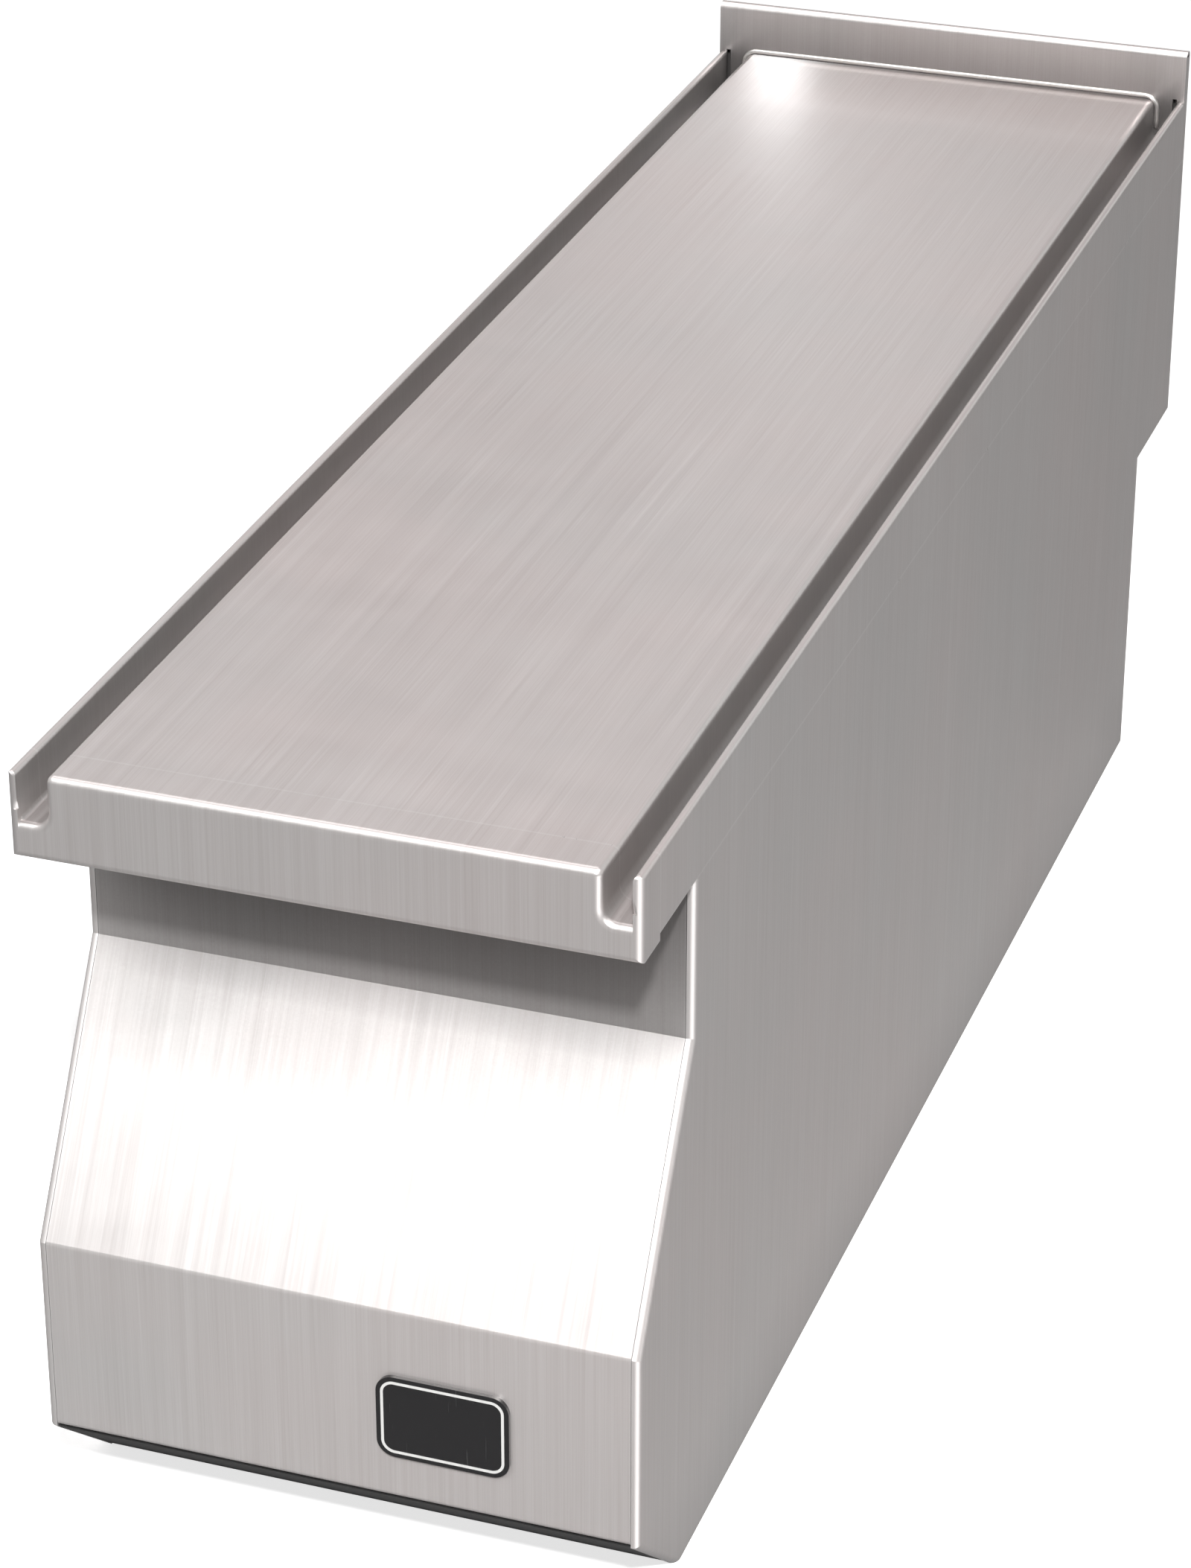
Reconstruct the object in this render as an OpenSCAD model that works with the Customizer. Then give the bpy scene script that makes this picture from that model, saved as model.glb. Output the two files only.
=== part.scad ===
// Neutral worktop module of a modular commercial kitchen range: a narrow folded-sheet
// cabinet with a raised worktop between two drain gutters, a rear upstand, a sloping
// front fascia and four levelling feet that screw down out of the base.
// X runs across the unit, +Y to the back and +Z up. The origin is the centre of the footprint.

/* [Overall size] */
// Width across the side panels
unit_w = 200; // [190:5:300]
// Depth from the apron to the back
unit_d = 700; // [640:10:800]
// Height of the worktop above the surface the unit stands on
top_h = 270; // [266:1:290]

/* [Folded sheet] */
// Thickness of the stainless sheet
sheet_t = 1.5; // [1.3:0.1:1.5]
// Outside radius of a visible fold
edge_r = 2.5; // [2.2:0.1:2.8]

/* [Worktop] */
// Clear width of each gutter
gutter_w = 9.5; // [9:0.5:12]
// Depth of the gutters below the worktop
gutter_depth = 17; // [16:0.5:18]
// Radius between the raised plate and the gutter floor
gutter_r = 4.5; // [4:0.25:5]
// Height of the front apron
apron_h = 29; // [28:0.5:31]
// Length of the apron cap along the sides
apron_len = 16; // [12:1:24]
// How far the worktop hangs over the front
overhang = 50; // [40:1:56]
// Height of the upstand above the worktop
upstand_h = 21; // [12:1:40]
// Thickness of the folded upstand
upstand_t = 6; // [6:0.5:9]

/* [Body] */
// Height at which the fascia starts to slope forward
neck_z = 188; // [180:1:195]
// Height at which the slope meets the upright fascia
slope_z = 103; // [95:1:115]
// Height of the lower edge of the fascia
kick_z = 33; // [28:1:38]
// How far the base is set back from the fascia
kick_depth = 38; // [34:1:42]
// Height of the service recess at the back
recess_z = 132; // [120:1:150]
// Depth of the service recess at the back
recess_depth = 56; // [40:1:70]

/* [Fixings] */
// Distance between the fixing holes across the unit
fixing_x = 120; // [100:5:130]
// Distance between the fixing holes from front to back
fixing_y = 440; // [380:10:460]
// Diameter of the fixing holes
fixing_d = 9; // [7:0.5:11]
// Travel of each levelling foot
foot_travel = 15; // [8:1:18]
// Diameter of a levelling foot
foot_d = 32; // [26:1:36]

/* [Badge] */
// Width of the blank badge
badge_w = 44; // [30:1:60]
// Height of the blank badge
badge_h = 30; // [20:1:36]
// Distance of the badge from the middle of the fascia
badge_x = 36; // [-40:1:40]

/* [Hidden] */
$fn = 64;

steel = [0.72, 0.70, 0.69];
dark_steel = [0.55, 0.53, 0.52];
zinc = [0.62, 0.64, 0.66];
black = [0.07, 0.07, 0.07];
bitumen = [0.16, 0.15, 0.14];

eps = 0.5;                        // how far a cutter runs past the face it opens
side_x = unit_w / 2;
front_y = -unit_d / 2;
back_y = unit_d / 2;
hem_t = 2 * sheet_t;              // the flange beside each gutter is folded double
plate_x = side_x - hem_t - gutter_w;
inner_x = side_x - sheet_t;       // inside face of a side panel
inner_r = edge_r - sheet_t;       // inside radius of a visible fold
floor_z = top_h - gutter_depth;   // top of the gutter floor
under_z = floor_z - sheet_t;      // underside of the gutter floor
plate_z = top_h - sheet_t;        // underside of the raised plate
apron_z = top_h - apron_h;        // lower edge of the apron
apron_back = front_y + apron_len;
skirt_step = 2.5;                 // the side skirt ends this far above the apron
skirt_z = apron_z + skirt_step;
flange_r = 1.5;                   // radius between the gutter floor and the flange
upstand_front = back_y - upstand_t;
neck_y = front_y + overhang;
kick_y = front_y + kick_depth;
recess_y = back_y - recess_depth;

// Joints between sheets
joint_gap = 0.15;
fold_land = 0.3;                  // flat left between a fold and the edge of its sheet
fascia_x = side_x - edge_r - fold_land;
lap = 13;                         // width of the strips and angles inside the side panels
lap_room = lap + 1;               // what other sheets leave free for them

// Rear cover, its screws and the bonding stud
cover_inset = 2.5;                // keeps the screw heads inside the depth of the unit
cover_y = back_y - cover_inset;
cover_lap = 6;                    // how far the cover's ends run past the sheets they meet
screw_d = 4;
screw_slack = 0.05;
screw_x = inner_x - lap / 2;
screw_margin = 22;
cover_screw_zs = [
    recess_z + screw_margin,
    (recess_z + skirt_z) / 2,
    skirt_z - screw_margin,
];
bonding_x = -60;
bonding_z = recess_z + 2 * screw_margin;
bonding_d = 6;

// Base tray, mounting rails and levelling feet
tray_z = 10;                      // underside of the base tray
tray_wall = 22;
tray_front = kick_y + 8;
tray_back = recess_y - 2 * sheet_t;
rail_w = 40;
rail_ys = [-fixing_y / 2, fixing_y / 2];
access_d = 22;                    // holes in the tray above the fixing holes
foot_x = side_x - 28;
foot_y = fixing_y / 2 + 45;
foot_spots = [[-foot_x, -foot_y], [foot_x, -foot_y], [-foot_x, foot_y], [foot_x, foot_y]];
thread_d = 8;
thread_slack = 0.05;
bush_h = 14;
pad_h = 8;
socket_d = 16;                    // closed socket in the pad, which holds the foot of the stud
socket_h = 3;
socket_z = 3;
neck_d = 11;

// Inside the worktop
bulkhead_h = 40;                  // how far a bulkhead reaches below the side skirts
bulkhead_lip = 20;
front_bulkhead_y = neck_y + sheet_t;
rear_bulkhead_y = upstand_front - 12;
stiffener_x = plate_x / 2;
stiffener_w = 34;
stiffener_h = 14;
stiffener_ends = [front_bulkhead_y + 22, rear_bulkhead_y - 6];
stud_d = 6;
stud_inset = 30;
stud_ys = [
    stiffener_ends[0] + stud_inset,
    (stiffener_ends[0] + stiffener_ends[1]) / 2,
    stiffener_ends[1] - stud_inset,
];
washer_t = 1.6;
nut_h = 5;
nut_ratio = 1.9;                  // width of a nut across its corners over its thread

// Badge
badge_z = (kick_z + slope_z) / 2 - 3;
badge_t = 1.4;
badge_r = 6;
badge_pin_x = badge_w / 2 - 10;
badge_pin_d = 2.5;
badge_inset = 1.6;
badge_line = 0.9;
badge_groove = 0.4;

// Visible edge of a side panel from the worktop down to the base, as [y, z]
front_line = [
    [neck_y, skirt_z],
    [neck_y, neck_z],
    [front_y, slope_z],
    [front_y, kick_z],
    [kick_y, 0],
];
back_line = [
    [recess_y, 0],
    [recess_y, recess_z],
    [back_y, recess_z],
    [back_y, skirt_z],
];

// Outside of the fascia, from under the worktop down to its lower lip, as [y, z]
fascia_lip = 12;
fascia_line = [
    [neck_y, under_z - joint_gap],
    [neck_y, neck_z],
    [front_y, slope_z],
    [front_y, kick_z],
    [front_y + fascia_lip, kick_z],
];

// ---- Lines and folds ----

function unit(v) = v / norm(v);
function left_of(v) = [-v.y, v.x];
function heading(v) = atan2(v.y, v.x);
function turn_at(line, i) =
    let (a = heading(line[i] - line[i - 1]), b = heading(line[i + 1] - line[i]))
    (b - a + 540) % 360 - 180;

// A line moved to its left, keeping its corners sharp
function moved_left(line, by) = [
    for (i = [0 : len(line) - 1])
        let (
            before = left_of(unit(line[max(i, 1)] - line[max(i, 1) - 1])),
            next = min(i, len(line) - 2),
            after = left_of(unit(line[next + 1] - line[next]))
        )
        line[i] + by * (before + after) / (1 + before * after)
];

// A line whose ends run on straight past their last point
function run_on(line, by) =
    let (last = len(line) - 1)
    concat(
        [line[0] - by * unit(line[1] - line[0])],
        [for (i = [1 : last - 1]) line[i]],
        [line[last] + by * unit(line[last] - line[last - 1])]
    );

// Cutter that rounds the outside of the fold at corner i of a sheet lying on a line's left
module fold_cut(line, i, outside) {
    turn = turn_at(line, i);
    side = sign(turn);
    centre = moved_left(line, turn > 0 ? outside : sheet_t - outside)[i];
    before = -side * left_of(unit(line[i] - line[i - 1]));
    after = -side * left_of(unit(line[i + 1] - line[i]));
    reach = outside + eps;
    translate(centre)
        difference() {
            polygon([
                [0, 0],
                reach * before,
                reach * (before + after) / (1 + before * after),
                reach * after,
            ]);
            circle(outside);
        }
}

// Edge view of a sheet folded along a line of [x, y] corners, lying on the line's left
module folded(line, outside = edge_r) {
    far_side = moved_left(line, sheet_t);
    last = len(line) - 1;
    difference() {
        polygon(concat(line, [for (i = [0 : last]) far_side[last - i]]));
        for (i = [1 : 1 : last - 1])
            fold_cut(line, i, outside);
    }
}

// Turns a [y, z] drawing into a bar across the unit
module across(from, to) {
    translate([min(from, to), 0, 0])
        rotate([90, 0, 90])
            linear_extrude(abs(to - from))
                children();
}

// Turns an [x, z] drawing into a bar from front to back
module along(from, to) {
    translate([0, to, 0])
        rotate([90, 0, 0])
            linear_extrude(to - from)
                children();
}

module both_sides() {
    children();
    mirror([1, 0, 0])
        children();
}

module rounded_rectangle(w, h, r) {
    square([w - 2 * r, h], center = true);
    square([w, h - 2 * r], center = true);
    for (x = [-1, 1], y = [-1, 1])
        translate([x * (w / 2 - r), y * (h / 2 - r)])
            circle(r);
}

// ---- Worktop, apron and upstand ----

// Everything below the visible surface of the worktop, seen from the front
module deck_outline(bottom) {
    translate([-plate_x, bottom])
        square([2 * plate_x, top_h - edge_r - bottom]);
    translate([-plate_x + edge_r, bottom])
        square([2 * (plate_x - edge_r), top_h - bottom]);
    translate([-side_x, bottom])
        square([unit_w, floor_z - bottom]);
    both_sides() {
        translate([plate_x - edge_r, top_h - edge_r])
            circle(edge_r);
        translate([side_x - hem_t, bottom])
            square([hem_t, top_h - sheet_t - bottom]);
        translate([side_x - sheet_t, top_h - sheet_t])
            circle(sheet_t);
        gutter_corner(plate_x, gutter_r, 0);
        mirror([1, 0])
            gutter_corner(-(side_x - hem_t), flange_r, 0);
    }
}

// Material in the corner of the gutter: a square less the circle that rolls along it
module gutter_corner(wall_x, r, below) {
    difference() {
        translate([wall_x - below, floor_z - below])
            square(r + below);
        translate([wall_x + r, floor_z + r])
            circle(r + below);
    }
}

// The hollow under the worktop sheet
module deck_hollow(bottom) {
    translate([-plate_x + sheet_t, bottom])
        square([2 * (plate_x - sheet_t), plate_z - inner_r - bottom]);
    translate([-plate_x + edge_r, bottom])
        square([2 * (plate_x - edge_r), plate_z - bottom]);
    translate([-inner_x, bottom])
        square([2 * inner_x, under_z - bottom]);
    both_sides() {
        translate([plate_x - edge_r, top_h - edge_r])
            circle(inner_r);
        gutter_corner(plate_x, gutter_r, sheet_t);
    }
}

module worktop() {
    color(steel)
        along(apron_back, upstand_front)
            difference() {
                deck_outline(skirt_z);
                deck_hollow(skirt_z - eps);
            }
}

// Cutter that rounds the edge of a block along Z; the block lies at -X, -Y of the edge
module edge_cut(length, r = edge_r) {
    linear_extrude(length)
        difference() {
            translate([-r, -r])
                square(r + eps);
            translate([-r, -r])
                circle(r);
        }
}

module corner_cut() {
    difference() {
        translate(-edge_r * [1, 1, 1])
            cube(edge_r + eps);
        translate(-edge_r * [1, 1, 1])
            sphere(edge_r);
    }
}

// Flares the mouth of the notch that each gutter leaves in the apron
module notch_flare() {
    straight_top = top_h - edge_r;
    straight_low = floor_z + gutter_r;
    translate([plate_x, front_y, straight_low])
        mirror([0, 1, 0])
            edge_cut(straight_top - straight_low);
    translate([plate_x, front_y, top_h])
        mirror([0, 1, 0])
            corner_cut();
    translate([plate_x + gutter_r, front_y, straight_low])
        rotate([-90, 0, 0])
            rotate_extrude(angle = -270)
                difference() {
                    translate([0, -eps])
                        square([gutter_r + edge_r, edge_r + eps]);
                    translate([gutter_r + edge_r, edge_r])
                        circle(edge_r);
                }
    across(plate_x + gutter_r, side_x - hem_t)
        difference() {
            translate([front_y - eps, floor_z - edge_r])
                square([edge_r + eps, edge_r + flange_r + eps]);
            translate([front_y + edge_r, floor_z - edge_r])
                circle(edge_r);
        }
}

module front_apron() {
    color(steel)
        difference() {
            intersection() {
                along(front_y, apron_back)
                    deck_outline(apron_z);
                linear_extrude(top_h + eps)
                    apron_plan();
            }
            along(front_y + sheet_t, apron_back + eps)
                deck_hollow(apron_z + sheet_t);
            translate([-plate_x + edge_r, front_y, top_h])
                rotate([90, 0, 90])
                    mirror([1, 0, 0])
                        edge_cut(2 * (plate_x - edge_r));
            both_sides()
                notch_flare();
            translate([-side_x - eps, front_y, apron_z])
                rotate([90, 0, 90])
                    mirror([0, 1, 0])
                        mirror([1, 0, 0])
                            edge_cut(unit_w + 2 * eps);
            both_sides()
                translate([side_x - hem_t - eps, front_y, top_h])
                    rotate([90, 0, 90])
                        mirror([1, 0, 0])
                            edge_cut(hem_t + 2 * eps, sheet_t);
        }
}

// Top view of the apron cap, with its front corners rounded
module apron_plan() {
    difference() {
        translate([-side_x, front_y])
            square([unit_w, apron_len]);
        both_sides()
            translate([side_x, front_y])
                difference() {
                    translate([-edge_r, -eps])
                        square(edge_r + eps);
                    translate([-edge_r, edge_r])
                        circle(edge_r);
                }
    }
}

module upstand() {
    lip_z = top_h + upstand_h;
    slot_w = 1.8;
    slot_over = 1;                // how far the slots reach above the worktop
    color(steel)
        difference() {
            union() {
                across(-side_x, side_x)
                    folded([
                        [back_y, skirt_z],
                        [back_y, lip_z],
                        [upstand_front, lip_z],
                        [upstand_front, skirt_z],
                    ]);
                both_sides()
                    translate([inner_x, upstand_front + sheet_t / 2, skirt_z])
                        cube([sheet_t, upstand_t - sheet_t, lip_z - edge_r - skirt_z]);
            }
            // A slot on each side of the front sheet keeps it off the flange
            both_sides()
                translate([side_x - hem_t - slot_w, upstand_front - eps, floor_z])
                    cube([slot_w, sheet_t + eps, gutter_depth + slot_over]);
        }
}

// ---- Body ----

// Side panel: a skin that folds round its front edge to meet the fascia
module side_panel(side) {
    color(steel)
        difference() {
            across(side * fascia_x, side * side_x)
                polygon(concat(front_line, back_line));
            across(side * (fascia_x - eps), side * inner_x)
                polygon(concat(
                    moved_left(run_on(front_line, 2 * edge_r), sheet_t),
                    [[back_y + eps, -edge_r], [back_y + eps, top_h]]
                ));
        }
}

module side_panel_left() {
    side_panel(-1);
}

module side_panel_right() {
    side_panel(1);
}

// Strip spot-welded inside a side panel, behind the joint with the fascia
module fascia_strip(side) {
    color(dark_steel)
        across(side * (inner_x - lap), side * inner_x)
            folded(moved_left(fascia_line, sheet_t), sheet_t);
}

module fascia_strip_left() {
    fascia_strip(-1);
}

module fascia_strip_right() {
    fascia_strip(1);
}

// Angle spot-welded inside a side panel, which the rear cover screws to
module rear_angle(side) {
    low = recess_z + lap;
    corner = [side * inner_x, cover_y - sheet_t];
    color(dark_steel)
        difference() {
            translate([0, 0, low])
                linear_extrude(skirt_z - lap - low)
                    for (leg = [[lap, sheet_t], [sheet_t, lap]])
                        translate([side > 0 ? corner.x - leg.x : corner.x, corner.y - leg.y])
                            square(leg);
            for (z = cover_screw_zs)
                translate([side * screw_x, cover_y - 2 * sheet_t - eps, z])
                    rotate([-90, 0, 0])
                        cylinder(h = sheet_t + 2 * eps, d = screw_d + 2 * screw_slack);
        }
}

module rear_angle_left() {
    rear_angle(-1);
}

module rear_angle_right() {
    rear_angle(1);
}

module front_fascia() {
    width = fascia_x - joint_gap;
    color(steel)
        difference() {
            across(-width, width)
                folded(fascia_line);
            for (x = [-1, 1])
                translate([badge_x + x * badge_pin_x, front_y - eps, badge_z])
                    rotate([-90, 0, 0])
                        cylinder(h = sheet_t + 2 * eps, d = badge_pin_d + 2 * screw_slack);
        }
}

// Part of the undercut lying between two depths behind its sloping edge, as [y, z]
module undercut_slab(from, to) {
    edge = run_on([[front_y, kick_z], [kick_y, 0]], 2 * to);
    near = moved_left(edge, from);
    far = moved_left(edge, to);
    polygon([near[0], near[1], far[1], far[0]]);
}

// Black strip that closes the undercut below the fascia, rebated behind the side panels' folds
module kick_strip() {
    face = 0.3;
    rebate = sheet_t + joint_gap;
    back = 5;
    top = kick_z - joint_gap;
    color(black)
        difference() {
            across(-inner_x, inner_x)
                intersection() {
                    undercut_slab(face, back);
                    translate([front_y, 0])
                        square([kick_depth + 2 * back, top]);
                }
            both_sides()
                across(fascia_x - joint_gap, inner_x + eps)
                    undercut_slab(face - eps, rebate);
        }
}

// ---- Back ----

module rear_cover() {
    low = recess_z + cover_lap;
    high = skirt_z + cover_lap;    // tucks up inside the upstand
    color(dark_steel)
        difference() {
            translate([-inner_x + joint_gap, cover_y - sheet_t, low])
                cube([2 * (inner_x - joint_gap), sheet_t, high - low]);
            for (x = [-screw_x, screw_x], z = cover_screw_zs)
                translate([x, cover_y - sheet_t - eps, z])
                    rotate([-90, 0, 0])
                        cylinder(h = sheet_t + 2 * eps, d = screw_d + 2 * screw_slack);
            bonding_hole();
        }
}

// Pan-head screw pointing to the front, with its head on the plane y = 0
module screw(length) {
    head_d = 2 * screw_d;
    head_h = 1.8;
    slot = 0.9;
    rotate([90, 0, 0])
        cylinder(h = length, d = screw_d);
    difference() {
        rotate([-90, 0, 0])
            cylinder(h = head_h, d = head_d);
        for (a = [0, 90])
            rotate([0, a, 0])
                translate([-head_d / 4, head_h / 2, -slot / 2])
                    cube([head_d / 2, head_h, slot]);
    }
}

module rear_cover_screws() {
    color(zinc)
        for (x = [-screw_x, screw_x], z = cover_screw_zs)
            translate([x, cover_y, z])
                screw(10);
}

// Folded panel that forms the floor and the front wall of the service recess
module recess_panel() {
    ledge_z = recess_z + sheet_t;
    wall_y = recess_y - sheet_t;
    color(dark_steel)
        across(-inner_x, inner_x)
            folded([
                [wall_y, tray_z + sheet_t],
                [wall_y, ledge_z],
                [cover_y - sheet_t, ledge_z],
                [cover_y - sheet_t, ledge_z + 10],
            ]);
}

module bonding_hole() {
    translate([bonding_x, cover_y - sheet_t - eps, bonding_z])
        rotate([-90, 0, 0])
            cylinder(h = sheet_t + 2 * eps, d = bonding_d + 2 * screw_slack);
}

// Stud for the protective bonding wire, with a collar behind the cover
module bonding_stud() {
    collar_h = 3;
    color(zinc)
        translate([bonding_x, cover_y - sheet_t, bonding_z])
            rotate([-90, 0, 0]) {
                cylinder(h = sheet_t + 2, d = bonding_d);
                translate([0, 0, -collar_h])
                    cylinder(h = collar_h, d = 2 * bonding_d);
            }
}

module bonding_nut() {
    color(zinc)
        translate([bonding_x, cover_y, bonding_z])
            rotate([-90, 0, 0])
                hex_nut(nut_ratio * bonding_d, 2, bonding_d + 2 * screw_slack);
}

module hex_nut(across_corners, height, bore) {
    difference() {
        cylinder(h = height, d = across_corners, $fn = 6);
        translate([0, 0, -eps])
            cylinder(h = height + 2 * eps, d = bore);
    }
}

// ---- Base and feet ----

module base_tray() {
    low = tray_z + sheet_t;
    color(dark_steel)
        difference() {
            union() {
                along(tray_front, tray_back)
                    folded([
                        [-inner_x, tray_z + tray_wall],
                        [-inner_x, tray_z],
                        [inner_x, tray_z],
                        [inner_x, tray_z + tray_wall],
                    ]);
                for (y = [tray_front, tray_back - sheet_t])
                    translate([-inner_x + edge_r, y, tray_z + sheet_t / 2])
                        cube([2 * (inner_x - edge_r), sheet_t, tray_wall - sheet_t / 2]);
            }
            for (spot = foot_spots)
                translate([spot.x, spot.y, tray_z - eps])
                    cylinder(h = sheet_t + 2 * eps, d = thread_d + 2 * thread_slack);
            for (x = [-1, 1], y = rail_ys)
                translate([x * fixing_x / 2, y, tray_z - eps])
                    cylinder(h = sheet_t + 2 * eps, d = access_d);
        }
}

// Channel under the tray that the fixing screws clamp
module mount_rail(y) {
    length = 2 * (inner_x - 4);
    color(dark_steel)
        translate([0, y, 0])
            difference() {
                across(-length / 2, length / 2)
                    folded([
                        [-rail_w / 2, tray_z],
                        [-rail_w / 2, 0],
                        [rail_w / 2, 0],
                        [rail_w / 2, tray_z],
                    ]);
                for (x = [-1, 1])
                    translate([x * fixing_x / 2, 0, -eps])
                        cylinder(h = sheet_t + 2 * eps, d = fixing_d);
            }
}

module mount_rail_front() {
    mount_rail(rail_ys[0]);
}

module mount_rail_rear() {
    mount_rail(rail_ys[1]);
}

// Weld bushes that carry the threads of the levelling feet
module foot_bushes() {
    collar_d = 24;
    collar_h = 2;
    body_d = 15;
    color(zinc)
        for (spot = foot_spots)
            translate([spot.x, spot.y, tray_z + sheet_t])
                difference() {
                    union() {
                        cylinder(h = collar_h, d = collar_d);
                        cylinder(h = bush_h, d = body_d);
                    }
                    translate([0, 0, -eps])
                        cylinder(h = bush_h + 2 * eps, d = thread_d + 2 * thread_slack);
                }
}

// Pad that stands on the surface and holds the foot of the stud in a closed socket
module foot_pad(i) {
    rim_r = 2;
    color(black)
        translate([foot_spots[i].x, foot_spots[i].y, 0])
            rotate_extrude()
                difference() {
                    union() {
                        square([foot_d / 2 - rim_r, pad_h]);
                        square([foot_d / 2, pad_h - rim_r]);
                        translate([foot_d / 2 - rim_r, pad_h - rim_r])
                            circle(rim_r);
                    }
                    translate([0, socket_z])
                        square([socket_d / 2, socket_h]);
                    translate([0, socket_z])
                        square([neck_d / 2, pad_h]);
                }
}

// Threaded stud with a turned foot, a hexagon for the spanner and a screwdriver slot
module foot_stud(i) {
    play = 0.05;
    hex_d = 15;
    stud_top = tray_z + sheet_t + bush_h + foot_travel + 4;
    slot_w = 1.4;
    slot_h = 2.5;
    color(zinc)
        translate([foot_spots[i].x, foot_spots[i].y, 0])
            difference() {
                union() {
                    translate([0, 0, socket_z + play])
                        cylinder(h = socket_h - 2 * play, d = socket_d - 2 * play);
                    translate([0, 0, socket_z + play])
                        cylinder(h = pad_h - socket_z, d = neck_d - 1);
                    translate([0, 0, pad_h + play])
                        cylinder(h = tray_z - pad_h - 2 * play, d = hex_d, $fn = 6);
                    translate([0, 0, socket_z + 1])
                        cylinder(h = stud_top - socket_z - 1, d = thread_d);
                }
                translate([-thread_d, -slot_w / 2, stud_top - slot_h])
                    cube([2 * thread_d, slot_w, slot_h + eps]);
            }
}

module foot_pad_front_left() {
    foot_pad(0);
}

module foot_pad_front_right() {
    foot_pad(1);
}

module foot_pad_rear_left() {
    foot_pad(2);
}

module foot_pad_rear_right() {
    foot_pad(3);
}

module foot_stud_front_left() {
    foot_stud(0);
}

module foot_stud_front_right() {
    foot_stud(1);
}

module foot_stud_rear_left() {
    foot_stud(2);
}

module foot_stud_rear_right() {
    foot_stud(3);
}

// ---- Inside the worktop ----

// Upright sheet that fills the hollow of the worktop and ties the side panels together
module bulkhead(y, lip_to) {
    low = skirt_z - bulkhead_h;
    color(dark_steel) {
        along(y, y + sheet_t)
            intersection() {
                deck_hollow(low);
                translate([-inner_x + lap_room, low])
                    square([2 * (inner_x - lap_room), top_h - low]);
            }
        translate([-inner_x + lap_room, min(y, y + lip_to), low])
            cube([2 * (inner_x - lap_room), abs(lip_to) + sheet_t, sheet_t]);
    }
}

module front_bulkhead() {
    bulkhead(front_bulkhead_y, bulkhead_lip);
}

module rear_bulkhead() {
    bulkhead(rear_bulkhead_y, -bulkhead_lip);
}

// Channel under the raised plate, held up by welded studs
module stiffener(x) {
    color(zinc)
        translate([x, 0, 0])
            difference() {
                along(stiffener_ends[0], stiffener_ends[1])
                    mirror([0, 1])
                        folded([
                            [-stiffener_w / 2, stiffener_h - plate_z],
                            [-stiffener_w / 2, -plate_z],
                            [stiffener_w / 2, -plate_z],
                            [stiffener_w / 2, stiffener_h - plate_z],
                        ]);
                for (y = stud_ys)
                    translate([0, y, plate_z - sheet_t - eps])
                        cylinder(h = sheet_t + 2 * eps, d = stud_d + 0.6);
            }
}

module stiffener_left() {
    stiffener(-stiffener_x);
}

module stiffener_right() {
    stiffener(stiffener_x);
}

module at_studs() {
    for (x = [-stiffener_x, stiffener_x], y = stud_ys)
        translate([x, y, plate_z])
            children();
}

module stiffener_studs() {
    stud_len = 13;
    color(zinc)
        at_studs()
            translate([0, 0, -stud_len])
                cylinder(h = stud_len, d = stud_d);
}

module stiffener_washers() {
    color(zinc)
        at_studs()
            translate([0, 0, -sheet_t - washer_t])
                difference() {
                    cylinder(h = washer_t, d = 2 * stud_d);
                    translate([0, 0, -eps])
                        cylinder(h = washer_t + 2 * eps, d = stud_d + 0.4);
                }
}

module stiffener_nuts() {
    color(zinc)
        at_studs()
            translate([0, 0, -sheet_t - washer_t - nut_h])
                hex_nut(nut_ratio * stud_d, nut_h, stud_d + 2 * screw_slack);
}

// Sound-deadening mat stuck under the plate between the channels
module damping_pad() {
    mat_t = 3;
    mat_w = 2 * stiffener_x - stiffener_w - 6;
    color(bitumen)
        translate([-mat_w / 2, stiffener_ends[0], plate_z - mat_t])
            cube([mat_w, stiffener_ends[1] - stiffener_ends[0], mat_t]);
}

// ---- Badge ----

// Blank plate with two pins at the back and a groove for its border
module badge_plate() {
    pin_len = 5;
    color(black)
        translate([badge_x, front_y, badge_z]) {
            rotate([90, 0, 0])
                difference() {
                    linear_extrude(badge_t)
                        rounded_rectangle(badge_w, badge_h, badge_r);
                    translate([0, 0, badge_t - badge_groove])
                        linear_extrude(badge_groove + eps)
                            badge_band();
                }
            for (x = [-badge_pin_x, badge_pin_x])
                translate([x, 0, 0])
                    rotate([-90, 0, 0])
                        cylinder(h = pin_len, d = badge_pin_d);
        }
}

module badge_band() {
    outer = badge_inset;
    inner = badge_inset + badge_line;
    difference() {
        rounded_rectangle(badge_w - 2 * outer, badge_h - 2 * outer, badge_r - outer);
        rounded_rectangle(badge_w - 2 * inner, badge_h - 2 * inner, badge_r - inner);
    }
}

module badge_border() {
    proud = 0.15;
    color("white")
        translate([badge_x, front_y - badge_t + badge_groove, badge_z])
            rotate([90, 0, 0])
                linear_extrude(badge_groove + proud)
                    badge_band();
}

// Push-on clips that hold the badge's pins behind the fascia
module badge_clips() {
    clip_t = 0.8;
    color(zinc)
        for (x = [-badge_pin_x, badge_pin_x])
            translate([badge_x + x, front_y + sheet_t, badge_z])
                rotate([-90, 0, 0])
                    difference() {
                        cylinder(h = clip_t, d = 9);
                        translate([0, 0, -eps])
                            cylinder(h = clip_t + 2 * eps, d = badge_pin_d + 2 * screw_slack);
                    }
}

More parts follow.
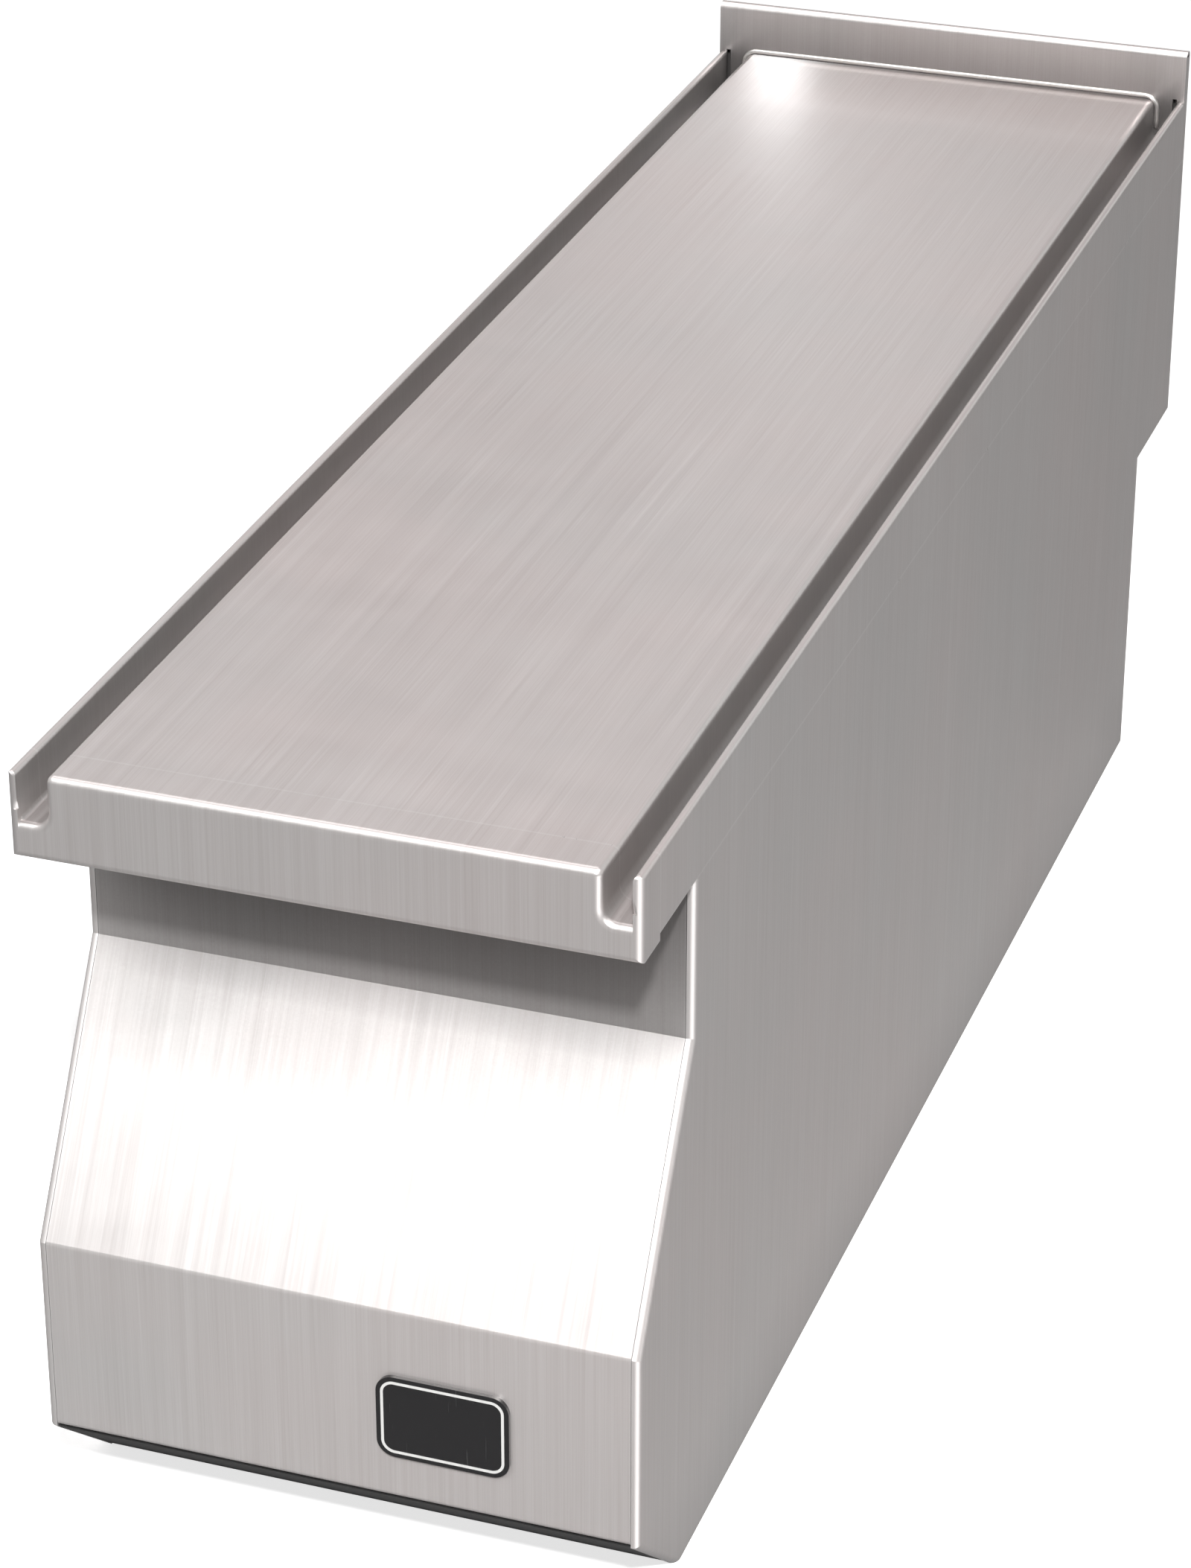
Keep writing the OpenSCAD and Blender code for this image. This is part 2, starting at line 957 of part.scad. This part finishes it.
worktop();
front_apron();
upstand();
side_panel_left();
side_panel_right();
front_fascia();
fascia_strip_left();
fascia_strip_right();
rear_angle_left();
rear_angle_right();
kick_strip();
rear_cover();
rear_cover_screws();
recess_panel();
base_tray();
mount_rail_front();
mount_rail_rear();
front_bulkhead();
rear_bulkhead();
stiffener_left();
stiffener_right();
damping_pad();
stiffener_studs();
stiffener_washers();
stiffener_nuts();
foot_bushes();
foot_pad_front_left();
foot_pad_front_right();
foot_pad_rear_left();
foot_pad_rear_right();
foot_stud_front_left();
foot_stud_front_right();
foot_stud_rear_left();
foot_stud_rear_right();
badge_plate();
badge_border();
badge_clips();
bonding_stud();
bonding_nut();
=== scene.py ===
"""Looks for a narrow stainless-steel worktop module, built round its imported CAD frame."""

import math

import bmesh
import bpy
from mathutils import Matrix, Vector


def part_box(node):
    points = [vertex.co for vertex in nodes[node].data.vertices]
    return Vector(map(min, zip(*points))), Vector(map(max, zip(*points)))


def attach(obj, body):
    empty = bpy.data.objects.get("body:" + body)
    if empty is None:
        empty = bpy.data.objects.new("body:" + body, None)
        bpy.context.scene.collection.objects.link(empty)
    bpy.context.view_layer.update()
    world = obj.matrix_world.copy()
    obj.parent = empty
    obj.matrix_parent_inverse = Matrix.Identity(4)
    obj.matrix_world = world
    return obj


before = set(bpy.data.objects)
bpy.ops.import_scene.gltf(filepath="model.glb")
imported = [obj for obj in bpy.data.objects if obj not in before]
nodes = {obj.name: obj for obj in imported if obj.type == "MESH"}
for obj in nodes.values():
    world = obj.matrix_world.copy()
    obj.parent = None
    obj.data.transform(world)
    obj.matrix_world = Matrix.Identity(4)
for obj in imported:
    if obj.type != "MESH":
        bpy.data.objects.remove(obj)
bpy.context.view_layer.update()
scene = bpy.context.scene

MM = 0.001

# Share of its colour that steel keeps under the painted shade in the deepest recess
PAINTED_SHADE_FLOOR = 0.26

# Painted shade: flat tops are darkened in colour to this share when looked down on steeply, to hold
# back the bright ceiling's reflection
STEEP_SHADE_LEVEL = 0.3
STEEP_VIEW = (0.2, 0.45)

# Colours of bare metal. PLATE and BODY are lit copies of one brushed steel: PLATE, pinker and a little
# darker, is painted on faces looking up as painted light
PLATE = (0.655, 0.600, 0.592)
BODY = (0.66, 0.628, 0.618)
MILL = (0.52, 0.51, 0.50)
ZINC = (0.60, 0.61, 0.62)


# ---- Small helpers for building node materials ----


class Shader:
    """A material under construction: adds nodes, links them and fills in their inputs."""

    def __init__(self, name):
        self.material = bpy.data.materials.new(name)
        self.material.use_nodes = True
        self.tree = self.material.node_tree
        self.surface = self.tree.nodes["Principled BSDF"]
        self.place = self.add("ShaderNodeTexCoord").outputs["Object"]

    @classmethod
    def for_tree(cls, tree):
        """The same helpers for a world's node tree."""
        s = cls.__new__(cls)
        s.tree = tree
        s.generated = s.add("ShaderNodeTexCoord").outputs["Generated"]
        return s

    def add(self, kind, **inputs):
        node = self.tree.nodes.new(kind)
        for socket, value in inputs.items():
            self.put(node.inputs[socket.replace("_", " ")], value)
        return node

    def put(self, socket, value):
        if isinstance(value, bpy.types.NodeSocket):
            self.tree.links.new(value, socket)
        else:
            socket.default_value = value

    def math(self, operation, a, b, c=0.0):
        node = self.tree.nodes.new("ShaderNodeMath")
        node.operation = operation
        for socket, value in zip(node.inputs, (a, b, c)):
            self.put(socket, value)
        return node.outputs[0]

    def scaled(self, scale, turn=(0, 0, 0)):
        node = self.add("ShaderNodeMapping", Vector=self.place, Scale=scale, Rotation=turn)
        return node.outputs[0]

    def noise(self, where, detail=3.0, roughness=0.55):
        node = self.add("ShaderNodeTexNoise", Vector=where, Scale=1.0, Detail=detail)
        node.inputs["Roughness"].default_value = roughness
        return node.outputs["Fac"]

    def ramp(self, fac, stops):
        node = self.add("ShaderNodeValToRGB", Fac=fac)
        elements = node.color_ramp.elements
        while len(elements) < len(stops):
            elements.new(0.5)
        for element, (place, value) in zip(elements, stops):
            element.position = place
            element.color = (value, value, value, 1)
        return node.outputs["Color"]

    def mix(self, fac, a, b, blend="MIX"):
        node = self.tree.nodes.new("ShaderNodeMix")
        node.data_type = "RGBA"
        node.blend_type = blend
        for socket, value in zip((node.inputs[0], node.inputs[6], node.inputs[7]), (fac, a, b)):
            self.put(socket, value)
        return node.outputs[2]

    def blend(self, share, a, b):
        node = self.tree.nodes.new("ShaderNodeMix")
        for socket, value in zip((node.inputs[0], node.inputs[2], node.inputs[3]), (share, a, b)):
            self.put(socket, value)
        return node.outputs[0]

    def step(self, value, low, high):
        """0 below low, 1 above high, with a smooth change between."""
        node = self.tree.nodes.new("ShaderNodeMapRange")
        node.interpolation_type = "SMOOTHSTEP"
        for socket, v in zip(node.inputs, (value, low, high, 0.0, 1.0)):
            self.put(socket, v)
        return node.outputs[0]

    def edges(self, radius, start=0.02, full=0.25):
        """1 along sharp or folded edges, 0 on the flat."""
        rounded = self.add("ShaderNodeBevel", Radius=radius)
        rounded.samples = 4
        flat = self.add("ShaderNodeNewGeometry")
        dot = self.tree.nodes.new("ShaderNodeVectorMath")
        dot.operation = "DOT_PRODUCT"
        self.put(dot.inputs[0], rounded.outputs[0])
        self.put(dot.inputs[1], flat.outputs["Normal"])
        away = self.math("SUBTRACT", 1.0, dot.outputs["Value"])
        spread = self.tree.nodes.new("ShaderNodeMapRange")
        for socket, value in zip(spread.inputs, (away, start, full, 0.0, 1.0)):
            self.put(socket, value)
        return spread.outputs[0]

    def recess(self, reach, depth):
        """Painted shade: 1 in the open, falling towards 0 in recesses and under overhangs within
        reach, to be multiplied into a colour.
        """
        node = self.add("ShaderNodeAmbientOcclusion", Distance=reach)
        node.samples = 24
        shade = self.math("POWER", node.outputs["AO"], depth)
        return self.math("MULTIPLY_ADD", shade, 1.0 - PAINTED_SHADE_FLOOR, PAINTED_SHADE_FLOOR)

    def bump(self, height, distance, strength=1.0):
        node = self.add("ShaderNodeBump", Height=height, Distance=distance, Strength=strength)
        self.put(self.surface.inputs["Normal"], node.outputs[0])

    def finish(self, **inputs):
        for socket, value in inputs.items():
            self.put(self.surface.inputs[socket.replace("_", " ")], value)
        return self.material


def brushed_steel(name, painted_shade_depth=0.5, painted_shade_reach=40 * MM, painted_shade_above=None, roughness=0.36):
    """Sheet brushed down its faces: streaks, cleaning haze, polished edges, painted shade in recesses
    and on tops seen steeply, and painted light as a pinker tint on faces looking up.

    Faces looking up, forward or back are grained across X, and faces looking sideways across Y,
    all in object coordinates, so that the grain runs on over a joint between two flush pieces.
    """
    s = Shader(name)
    normal = s.add("ShaderNodeNewGeometry").outputs["Normal"]
    facing = s.add("ShaderNodeSeparateXYZ", Vector=normal)
    sideways = s.step(s.math("ABSOLUTE", facing.outputs["X"], 0.0), 0.6, 0.8)
    upward = s.step(facing.outputs["Z"], 0.75, 0.95)

    def streaked(fine, slow, detail, rough):
        ahead = s.noise(s.scaled((fine, slow, slow)), detail, rough)
        side = s.noise(s.scaled((slow, fine, slow)), detail, rough)
        return s.blend(sideways, ahead, side)

    fine = streaked(2600, 14, 2.0, 0.55)
    coarse = streaked(420, 3.5, 4.0, 0.7)
    bands = streaked(60, 1.2, 2.0, 0.55)
    haze = s.noise(s.scaled((7, 7, 7)), 5.0, 0.6)
    wipes = s.noise(s.scaled((18, 42, 18), (0.2, 0.1, 0.5)), 4.0, 0.65)
    streaks = s.blend(0.45, fine, coarse)
    # Painted light: faces looking up take the pinker, darker PLATE copy of the steel, all other faces
    # take BODY
    tint = s.mix(upward, BODY + (1,), PLATE + (1,))
    cloudy = s.ramp(haze, ((0.35, 0.0), (0.65, 1.0)))
    warmth = s.mix(cloudy, (0.48, 0.5, 0.5, 1), (0.515, 0.5, 0.497, 1))
    colour = s.mix(1.0, tint, warmth, "OVERLAY")
    light = s.ramp(streaks, ((0.30, 0.36), (0.70, 0.64)))
    colour = s.mix(0.5, colour, light, "OVERLAY")
    worn = s.edges(1.2 * MM)
    colour = s.mix(s.math("MULTIPLY", worn, 0.35), colour, (0.95, 0.94, 0.93, 1))
    # Painted shade: ambient occlusion darkens the colour in recesses and under overhangs, optionally
    # only above a given height
    shade = s.recess(painted_shade_reach, painted_shade_depth)
    if painted_shade_above is not None:
        height = s.add("ShaderNodeSeparateXYZ", Vector=s.place).outputs["Z"]
        shade = s.blend(s.step(height, painted_shade_above, painted_shade_above + 20 * MM), 1.0, shade)
    # Painted shade: faces looking up get a darker colour when seen steeply from above, against the
    # ceiling's reflection
    slant = s.step(s.add("ShaderNodeLayerWeight", Blend=0.5).outputs["Facing"], *STEEP_VIEW)
    level = s.math("MULTIPLY_ADD", slant, 1.0 - STEEP_SHADE_LEVEL, STEEP_SHADE_LEVEL)
    shade = s.math("MULTIPLY", shade, s.blend(upward, 1.0, level))
    grey = s.add("ShaderNodeCombineColor", Red=shade, Green=shade, Blue=shade).outputs[0]
    colour = s.mix(1.0, colour, grey, "MULTIPLY")
    rough = s.math("MULTIPLY_ADD", s.math("SUBTRACT", coarse, 0.5), 0.14, roughness)
    rough = s.math("MULTIPLY_ADD", s.math("SUBTRACT", wipes, 0.5), 0.10, rough)
    rough = s.math("MULTIPLY_ADD", s.math("SUBTRACT", bands, 0.5), 0.05, rough)
    rough = s.math("SUBTRACT", rough, s.math("MULTIPLY", worn, 0.06))
    s.bump(streaks, 0.025 * MM, 0.3)
    across = s.add("ShaderNodeCombineXYZ", X=s.math("SUBTRACT", 1.0, sideways), Y=sideways)
    return s.finish(
        Base_Color=colour,
        Metallic=0.7,
        Roughness=rough,
        Anisotropic=0.4,
        Tangent=across.outputs[0],
        Coat_Weight=0.3,
        Coat_Roughness=0.12,
    )


def mill_steel(name, tint):
    """Plain cold-rolled sheet: dull, with faint rolling lines, handling scuffs and dust."""
    s = Shader(name)
    rolling = s.noise(s.scaled((5, 900, 700)), 3.0)
    scuffs = s.noise(s.scaled((90, 30, 60), (0.4, 0.2, 0.9)), 6.0, 0.75)
    cloud = s.noise(s.scaled((12, 12, 12)), 4.0)
    dark = tuple(c * 0.86 for c in tint) + (1,)
    colour = s.mix(s.ramp(cloud, ((0.3, 0.0), (0.7, 1.0))), dark, tuple(tint) + (1,))
    colour = s.mix(0.35, colour, s.ramp(rolling, ((0.3, 0.38), (0.7, 0.62))), "OVERLAY")
    worn = s.edges(0.8 * MM)
    colour = s.mix(s.math("MULTIPLY", worn, 0.4), colour, (0.85, 0.85, 0.85, 1))
    rough = s.math("MULTIPLY_ADD", scuffs, 0.25, 0.34)
    s.bump(scuffs, 0.02 * MM, 0.5)
    return s.finish(Base_Color=colour, Metallic=1.0, Roughness=rough)


def dressed_weld(name, tint):
    """Weld bead dressed smooth: bright, with faint ripples and a trace of heat tint."""
    s = Shader(name)
    ripples = s.noise(s.scaled((650, 650, 650)), 2.0)
    heat = s.noise(s.scaled((40, 40, 40)), 3.0)
    straw = (tint[0], tint[1] * 0.95, tint[2] * 0.86, 1)
    colour = s.mix(s.ramp(heat, ((0.45, 0.0), (0.8, 0.6))), tuple(tint) + (1,), straw)
    rough = s.math("MULTIPLY_ADD", ripples, 0.2, 0.22)
    s.bump(ripples, 0.04 * MM, 0.5)
    return s.finish(Base_Color=colour, Metallic=0.85, Roughness=rough)


def zinc(name, tint, spangle):
    """Galvanised or zinc-plated steel with a crystalline spangle of the given size in metres."""
    s = Shader(name)
    where = s.scaled((1 / spangle,) * 3)
    cells = s.add("ShaderNodeTexVoronoi", Vector=where, Scale=1.0)
    grit = s.noise(s.scaled((1500, 1500, 1500)), 2.0)
    tone = s.ramp(s.add("ShaderNodeSeparateColor", Color=cells.outputs["Color"]).outputs[0],
                  ((0.0, 0.36), (1.0, 0.64)))
    colour = s.mix(0.6, tuple(tint) + (1,), tone, "OVERLAY")
    worn = s.edges(0.5 * MM)
    colour = s.mix(s.math("MULTIPLY", worn, 0.5), colour, (0.88, 0.88, 0.86, 1))
    rough = s.math("MULTIPLY_ADD", grit, 0.2, 0.28)
    s.bump(grit, 0.01 * MM, 0.4)
    return s.finish(Base_Color=colour, Metallic=1.0, Roughness=rough)


def moulded_black(name, tint, roughness, grit_scale=1800):
    """Rubber or plastic with moulding grit, paler worn edges and a little settled dust."""
    s = Shader(name)
    grit = s.noise(s.scaled((grit_scale,) * 3), 3.0)
    dust = s.noise(s.scaled((55, 55, 55)), 5.0, 0.7)
    pale = tuple(min(1, c * 2.2 + 0.02) for c in tint) + (1,)
    colour = s.mix(s.ramp(dust, ((0.45, 0.0), (0.85, 0.35))), tuple(tint) + (1,), pale)
    colour = s.mix(s.math("MULTIPLY", s.edges(0.6 * MM), 0.5), colour, pale)
    rough = s.math("MULTIPLY_ADD", dust, 0.2, roughness)
    s.bump(grit, 0.05 * MM, 0.5)
    return s.finish(Base_Color=colour, Roughness=rough)


def enamel(name, tint, roughness):
    """Fired enamel: a smooth coat with orange peel and a few hairline scratches."""
    s = Shader(name)
    peel = s.noise(s.scaled((420, 420, 420)), 1.0)
    scratches = s.noise(s.scaled((3000, 900, 60), (0.3, 0.9, 0.2)), 2.0)
    marks = s.ramp(scratches, ((0.68, 0.0), (0.74, 1.0)))
    colour = s.mix(s.math("MULTIPLY", marks, 0.06), tuple(tint) + (1,), (0.6, 0.6, 0.6, 1))
    rough = s.math("MULTIPLY_ADD", marks, 0.2, roughness)
    s.bump(peel, 0.02 * MM, 0.3)
    return s.finish(Base_Color=colour, Roughness=rough, Coat_Weight=0.6, Coat_Roughness=0.08)


# ---- Materials of the CAD nodes ----

# All three steels carry painted shade in recesses; the fascia's is strongest, painting the shadow
# under the overhang on the neck and the top of the slope, above about 100 mm only
deck_steel = brushed_steel("deck_steel", painted_shade_depth=0.4)
upstand_steel = brushed_steel("upstand_steel", painted_shade_depth=2.4)
fascia_steel = brushed_steel(
    "fascia_steel", painted_shade_depth=7.0, painted_shade_reach=90 * MM, painted_shade_above=100 * MM)
weld_steel = dressed_weld("weld_steel", (0.80, 0.78, 0.76))
sheet_steel = mill_steel("sheet_steel", MILL)
channel_zinc = zinc("channel_zinc", ZINC, 7 * MM)
screw_zinc = zinc("screw_zinc", ZINC, 1.5 * MM)
# Painted shade: the kick strip is made near-black to stand for the shade under the fascia
painted_shade_strip = moulded_black("painted_shade_strip", (0.018, 0.018, 0.018), 0.5)
foot_rubber = moulded_black("foot_rubber", (0.03, 0.03, 0.03), 0.6)
mat_bitumen = moulded_black("mat_bitumen", (0.035, 0.033, 0.03), 0.75, 600)
badge_black = enamel("badge_black", (0.008, 0.008, 0.009), 0.18)
badge_white = enamel("badge_white", (0.82, 0.82, 0.80), 0.3)

FINISH = {
    deck_steel: ("worktop", "front_apron", "side_panel_left", "side_panel_right"),
    upstand_steel: ("upstand",),
    fascia_steel: ("front_fascia",),
    sheet_steel: (
        "fascia_strip_left", "fascia_strip_right", "rear_angle_left", "rear_angle_right",
        "rear_cover", "recess_panel", "base_tray", "mount_rail_front", "mount_rail_rear",
        "front_bulkhead", "rear_bulkhead",
    ),
    channel_zinc: ("stiffener_left", "stiffener_right"),
    screw_zinc: (
        "rear_cover_screws", "stiffener_studs", "stiffener_washers", "stiffener_nuts",
        "foot_bushes", "badge_clips", "bonding_stud", "bonding_nut",
        "foot_stud_front_left", "foot_stud_front_right",
        "foot_stud_rear_left", "foot_stud_rear_right",
    ),
    painted_shade_strip: ("kick_strip",),
    foot_rubber: (
        "foot_pad_front_left", "foot_pad_front_right", "foot_pad_rear_left", "foot_pad_rear_right",
    ),
    mat_bitumen: ("damping_pad",),
    badge_black: ("badge_plate",),
    badge_white: ("badge_border",),
}


def paint(obj, material):
    obj.data.materials.clear()
    obj.data.materials.append(material)


for material, names in FINISH.items():
    for name in names:
        paint(nodes[name], material)


# ---- Rounded front folds of the side panels ----

FOLD_RADIUS = 2.4 * MM


def round_front_fold(name):
    """Rounds the outer front corner, where a side panel turns in beside the fascia."""
    obj = nodes[name]
    low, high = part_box(name)
    outer = max(low[0], high[0], key=abs)
    weld = obj.modifiers.new("weld", "WELD")
    weld.merge_threshold = 0.01 * MM
    flat = obj.modifiers.new("merge_flat_faces", "DECIMATE")
    flat.decimate_type = "DISSOLVE"
    flat.angle_limit = math.radians(1)
    group = obj.vertex_groups.new(name="front_fold")
    for vertex in obj.data.vertices:
        if abs(vertex.co.x - outer) < 0.1 * MM and vertex.co.y < 0:
            group.add([vertex.index], 1.0, "REPLACE")
    bevel = obj.modifiers.new("fold", "BEVEL")
    bevel.limit_method = "VGROUP"
    bevel.vertex_group = "front_fold"
    bevel.width = FOLD_RADIUS
    bevel.segments = 6
    bevel.harden_normals = True


for name in ("side_panel_left", "side_panel_right"):
    round_front_fold(name)


# ---- Rim where the upstand is welded round the end of the worktop ----

RIM_W, RIM_T = 2.0 * MM, 1.1 * MM
RIM_GAP = 0.5 * MM
RIM_CORNER = 4.5 * MM
RIM_DROP = 12 * MM


def arc(centre, radius, start, end, steps=8):
    """Points of an arc in the X-Z plane; angles in degrees from +X towards +Z."""
    turns = [math.radians(start + (end - start) * i / steps) for i in range(steps + 1)]
    return [(centre[0] + radius * math.cos(t), centre[1] + radius * math.sin(t)) for t in turns]


def sweep(name, path, section, y):
    """Closed solid: a section of (outward, depth) offsets carried along an X-Z path at y."""
    mesh = bmesh.new()
    rings = []
    for i, point in enumerate(path):
        before, after = path[max(i - 1, 0)], path[min(i + 1, len(path) - 1)]
        along = (Vector(after) - Vector(before)).normalized()
        out = Vector((-along.y, along.x))
        rings.append([
            mesh.verts.new((point[0] + out.x * o, y + depth, point[1] + out.y * o))
            for o, depth in section
        ])
    count = len(section)
    for near, far in zip(rings, rings[1:]):
        for i in range(count):
            j = (i + 1) % count
            mesh.faces.new((near[i], near[j], far[j], far[i]))
    mesh.faces.new(rings[0][::-1])
    mesh.faces.new(rings[-1])
    bmesh.ops.recalc_face_normals(mesh, faces=mesh.faces)
    for face in mesh.faces:
        face.smooth = True
    data = bpy.data.meshes.new(name)
    mesh.to_mesh(data)
    mesh.free()
    obj = bpy.data.objects.new(name, data)
    scene.collection.objects.link(obj)
    return obj


def top_flange_x():
    """How far out the flanges beside the gutters reach."""
    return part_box("worktop")[1][0]


def upstand_rim():
    """A bead up out of each gutter and over the raised plate, just in front of the upstand."""
    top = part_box("worktop")[1][2]
    crest = [v.co for v in nodes["worktop"].data.vertices if v.co.z > top - RIM_CORNER]
    plate_x = max(abs(v.x) for v in crest if abs(v.x) < top_flange_x() - RIM_CORNER)
    reach, crown = plate_x + RIM_GAP, top + RIM_GAP
    corner = (reach - RIM_CORNER, crown - RIM_CORNER)
    low = top - RIM_DROP
    path = [(-reach, low), (-reach, (low + corner[1]) / 2)]
    path += arc((-corner[0], corner[1]), RIM_CORNER, 180, 90)
    path += [(x * corner[0], crown) for x in (-0.5, 0, 0.5)]
    path += arc(corner, RIM_CORNER, 90, 0)
    path += [(reach, (low + corner[1]) / 2), (reach, low)]
    section = [
        (RIM_W * (0.5 - 0.5 * math.cos(math.pi * i / 8)), -RIM_T * math.sin(math.pi * i / 8))
        for i in range(9)
    ]
    rim = sweep("upstand_rim", path, section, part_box("upstand")[0][1])
    paint(rim, weld_steel)
    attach(rim, "body")


upstand_rim()


# ---- Light, floor and camera ----

AZIMUTH, ELEVATION = math.radians(19.18), math.radians(27.87)
AIM = Vector((28.3, -185.0, 205.6)) * MM
DISTANCE = 1.5
LENS = 105.8

# Brightness of the room: to matt surfaces, then as polished ones see it
MATT_LEVEL = 0.15
WALL_AHEAD, WALL_BEHIND = 0.25, 0.52
HORIZON_GLOW = 0.5
CEILING_LEVEL = 4.0

FLOOR_HALF = 12.0
FLOOR_DROP = 0.2 * MM
FLOOR_GLOW = 0.72
CARD_LEVEL = 1.8

# The bright card by the share of a full turn: 0.5 lies ahead of the unit, 0.75 to its right
CARD = ((0.0, 0.08), (0.30, 0.0), (0.56, 0.0), (0.60, 1.0), (0.70, 1.0), (0.75, 0.05), (1.0, 0.08))


def toward(azimuth, elevation):
    """Unit vector from the object towards a direction; azimuth 0 is the front, 90 the right."""
    return Vector((
        math.sin(azimuth) * math.cos(elevation),
        -math.cos(azimuth) * math.cos(elevation),
        math.sin(elevation),
    ))


def area_light(name, azimuth, elevation, distance, size, watts, aim=Vector((0, 0, 0.15))):
    data = bpy.data.lights.new(name, "AREA")
    data.shape = "RECTANGLE"
    data.size, data.size_y = size
    data.energy = watts
    light = bpy.data.objects.new(name, data)
    scene.collection.objects.link(light)
    back = toward(math.radians(azimuth), math.radians(elevation))
    light.location = aim + back * distance
    light.rotation_mode = "QUATERNION"
    light.rotation_quaternion = (-back).to_track_quat("-Z", "Y")
    return light


def make_world():
    """White to the camera and dim to matt surfaces.

    Polished surfaces see a pale horizon behind the unit, a darker one ahead and a white ceiling light.
    """
    world = bpy.data.worlds.new("studio")
    scene.world = world
    world.use_nodes = True
    s = Shader.for_tree(world.node_tree)
    axes = s.add("ShaderNodeSeparateXYZ", Vector=s.generated)
    depth = s.step(axes.outputs["Y"], -0.8, 0.6)
    walls = s.blend(depth, WALL_AHEAD, WALL_BEHIND)
    horizon = s.math("SUBTRACT", 1.0, s.step(axes.outputs["Z"], 0.05, 0.3))
    walls = s.math("MULTIPLY_ADD", s.math("MULTIPLY", horizon, depth), HORIZON_GLOW, walls)
    ceiling = s.step(axes.outputs["Z"], 0.72, 0.8)
    path = s.add("ShaderNodeLightPath")
    polished = s.blend(ceiling, walls, CEILING_LEVEL)
    level = s.blend(path.outputs["Is Glossy Ray"], MATT_LEVEL, polished)
    level = s.blend(path.outputs["Is Camera Ray"], level, 1.0)
    background = world.node_tree.nodes["Background"]
    s.put(background.inputs["Strength"], level)
    background.inputs["Color"].default_value = (1.0, 0.985, 0.98, 1)


def make_floor():
    """Pale floor, clear from below; metal sees it greyer than the camera does, with a bright card."""
    mesh = bpy.data.meshes.new("floor")
    half = FLOOR_HALF
    corners = [(-half, -half, 0), (half, -half, 0), (half, half, 0), (-half, half, 0)]
    mesh.from_pydata(corners, [], [(0, 1, 2, 3)])
    floor = bpy.data.objects.new("floor", mesh)
    floor.location.z = -FLOOR_DROP
    scene.collection.objects.link(floor)
    s = Shader("floor_paint")
    speck = s.noise(s.scaled((260, 260, 260)), 3.0)
    tone = s.ramp(speck, ((0.3, 0.86), (0.7, 0.90)))
    path = s.add("ShaderNodeLightPath")
    glossy, seen_by_camera = path.outputs["Is Glossy Ray"], path.outputs["Is Camera Ray"]
    geometry = s.add("ShaderNodeNewGeometry")
    axes = s.add("ShaderNodeSeparateXYZ", Vector=geometry.outputs["Incoming"])
    turn = s.math("ARCTAN2", s.math("MULTIPLY", axes.outputs["X"], -1.0), axes.outputs["Y"])
    share = s.math("MULTIPLY_ADD", turn, 0.5 / math.pi, 0.5)
    card = s.ramp(share, CARD)
    seen = s.mix(seen_by_camera, (0.27, 0.265, 0.265, 1), tone)
    glow = s.math("MULTIPLY", seen_by_camera, FLOOR_GLOW)
    paint(floor, s.finish(
        Base_Color=seen, Roughness=0.7, Specular_IOR_Level=0.1,
        Emission_Color=s.mix(glossy, (1, 1, 1, 1), card),
        Emission_Strength=s.math("MULTIPLY_ADD", glossy, CARD_LEVEL, glow),
        Alpha=s.math("SUBTRACT", 1.0, geometry.outputs["Backfacing"]),
    ))


def make_camera():
    data = bpy.data.cameras.new("camera")
    data.lens = LENS
    data.sensor_width = 36
    camera = bpy.data.objects.new("camera", data)
    scene.collection.objects.link(camera)
    back = toward(AZIMUTH, ELEVATION)
    camera.location = AIM + back * DISTANCE
    camera.rotation_mode = "QUATERNION"
    camera.rotation_quaternion = (-back).to_track_quat("-Z", "Y")
    scene.camera = camera


make_world()
make_floor()
make_camera()
area_light("key", 20, 39, 3.0, (0.15, 0.15), 100)
slope_box = area_light("slope_box", -20, 40, 2.2, (1.4, 0.8), 34)
front_parts = bpy.data.collections.new("lit_by_slope_box")
for name in ("front_fascia", "side_panel_left", "side_panel_right"):
    front_parts.objects.link(nodes[name])
slope_box.light_linking.receiver_collection = front_parts

# A small lamp low behind the unit, reflected in the rear left corner of the worktop
GLINT_SPOT = Vector((-0.07, 0.325, 0.27))
glint = area_light("glint", 196.8, 18.7, 3.0, (0.06, 0.03), 0.5, GLINT_SPOT)
glint_parts = bpy.data.collections.new("lit_by_glint")
glint_parts.objects.link(nodes["worktop"])
glint.light_linking.receiver_collection = glint_parts
glint.light_linking.blocker_collection = glint_parts
scene.view_settings.view_transform = "Standard"
